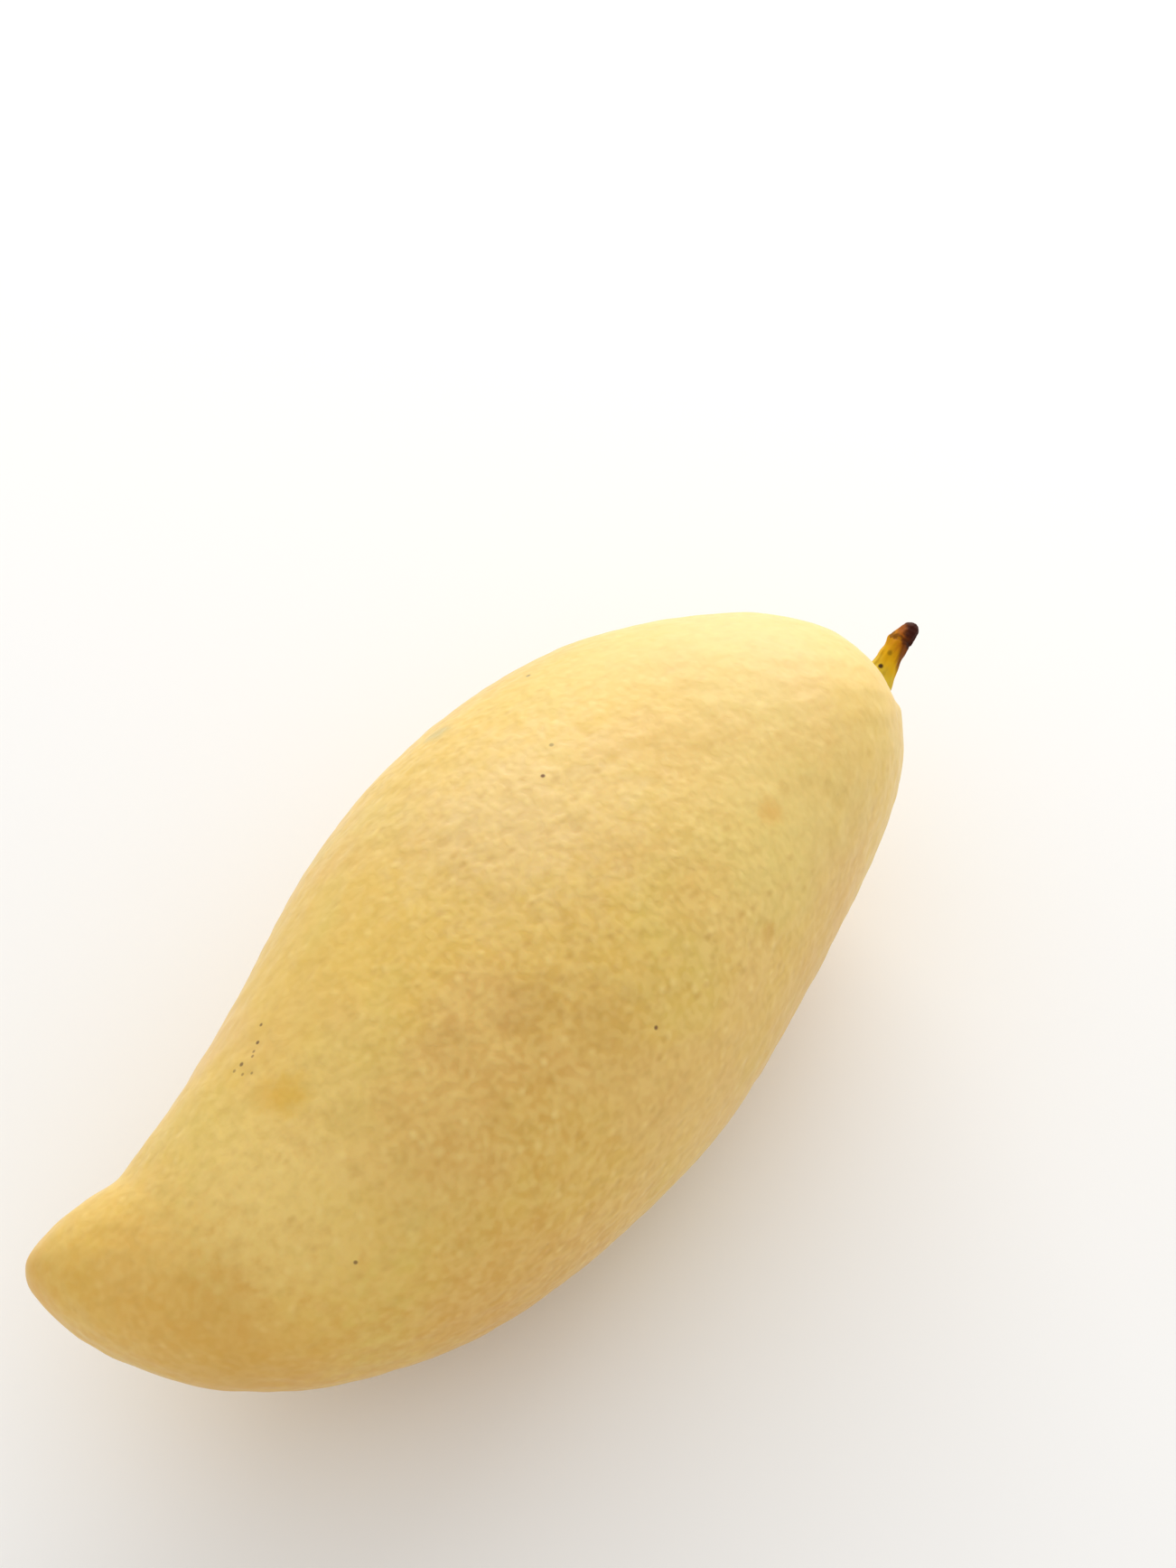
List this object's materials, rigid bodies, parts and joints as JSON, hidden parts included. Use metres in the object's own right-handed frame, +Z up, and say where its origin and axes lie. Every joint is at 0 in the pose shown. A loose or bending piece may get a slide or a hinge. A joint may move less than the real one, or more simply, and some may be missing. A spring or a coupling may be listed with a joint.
{
  "type": "mango",
  "caption": "Ripe long yellow mango with a hooked beak and a short dried stem, lying on one cheek on a small flat spot.",
  "frame": {"origin": "on the small flat spot of the lower cheek, where the fruit rests on a surface", "axes": "+Z up, +X along the fruit to its stem end, -X to its beak, +Y to the belly side with the sinus, -Y to the back"},
  "size_m": [0.1718, 0.081, 0.0645],
  "materials": {
    "skin": "ripe yellow mango skin with a fine waxy bloom, satin to matt",
    "stem": "woody stalk, olive and ochre at the foot, dried dark brown at the end"
  },
  "bodies": {
    "root": {"fruit": "skin", "stem": "stem"}
  },
  "joints": []
}
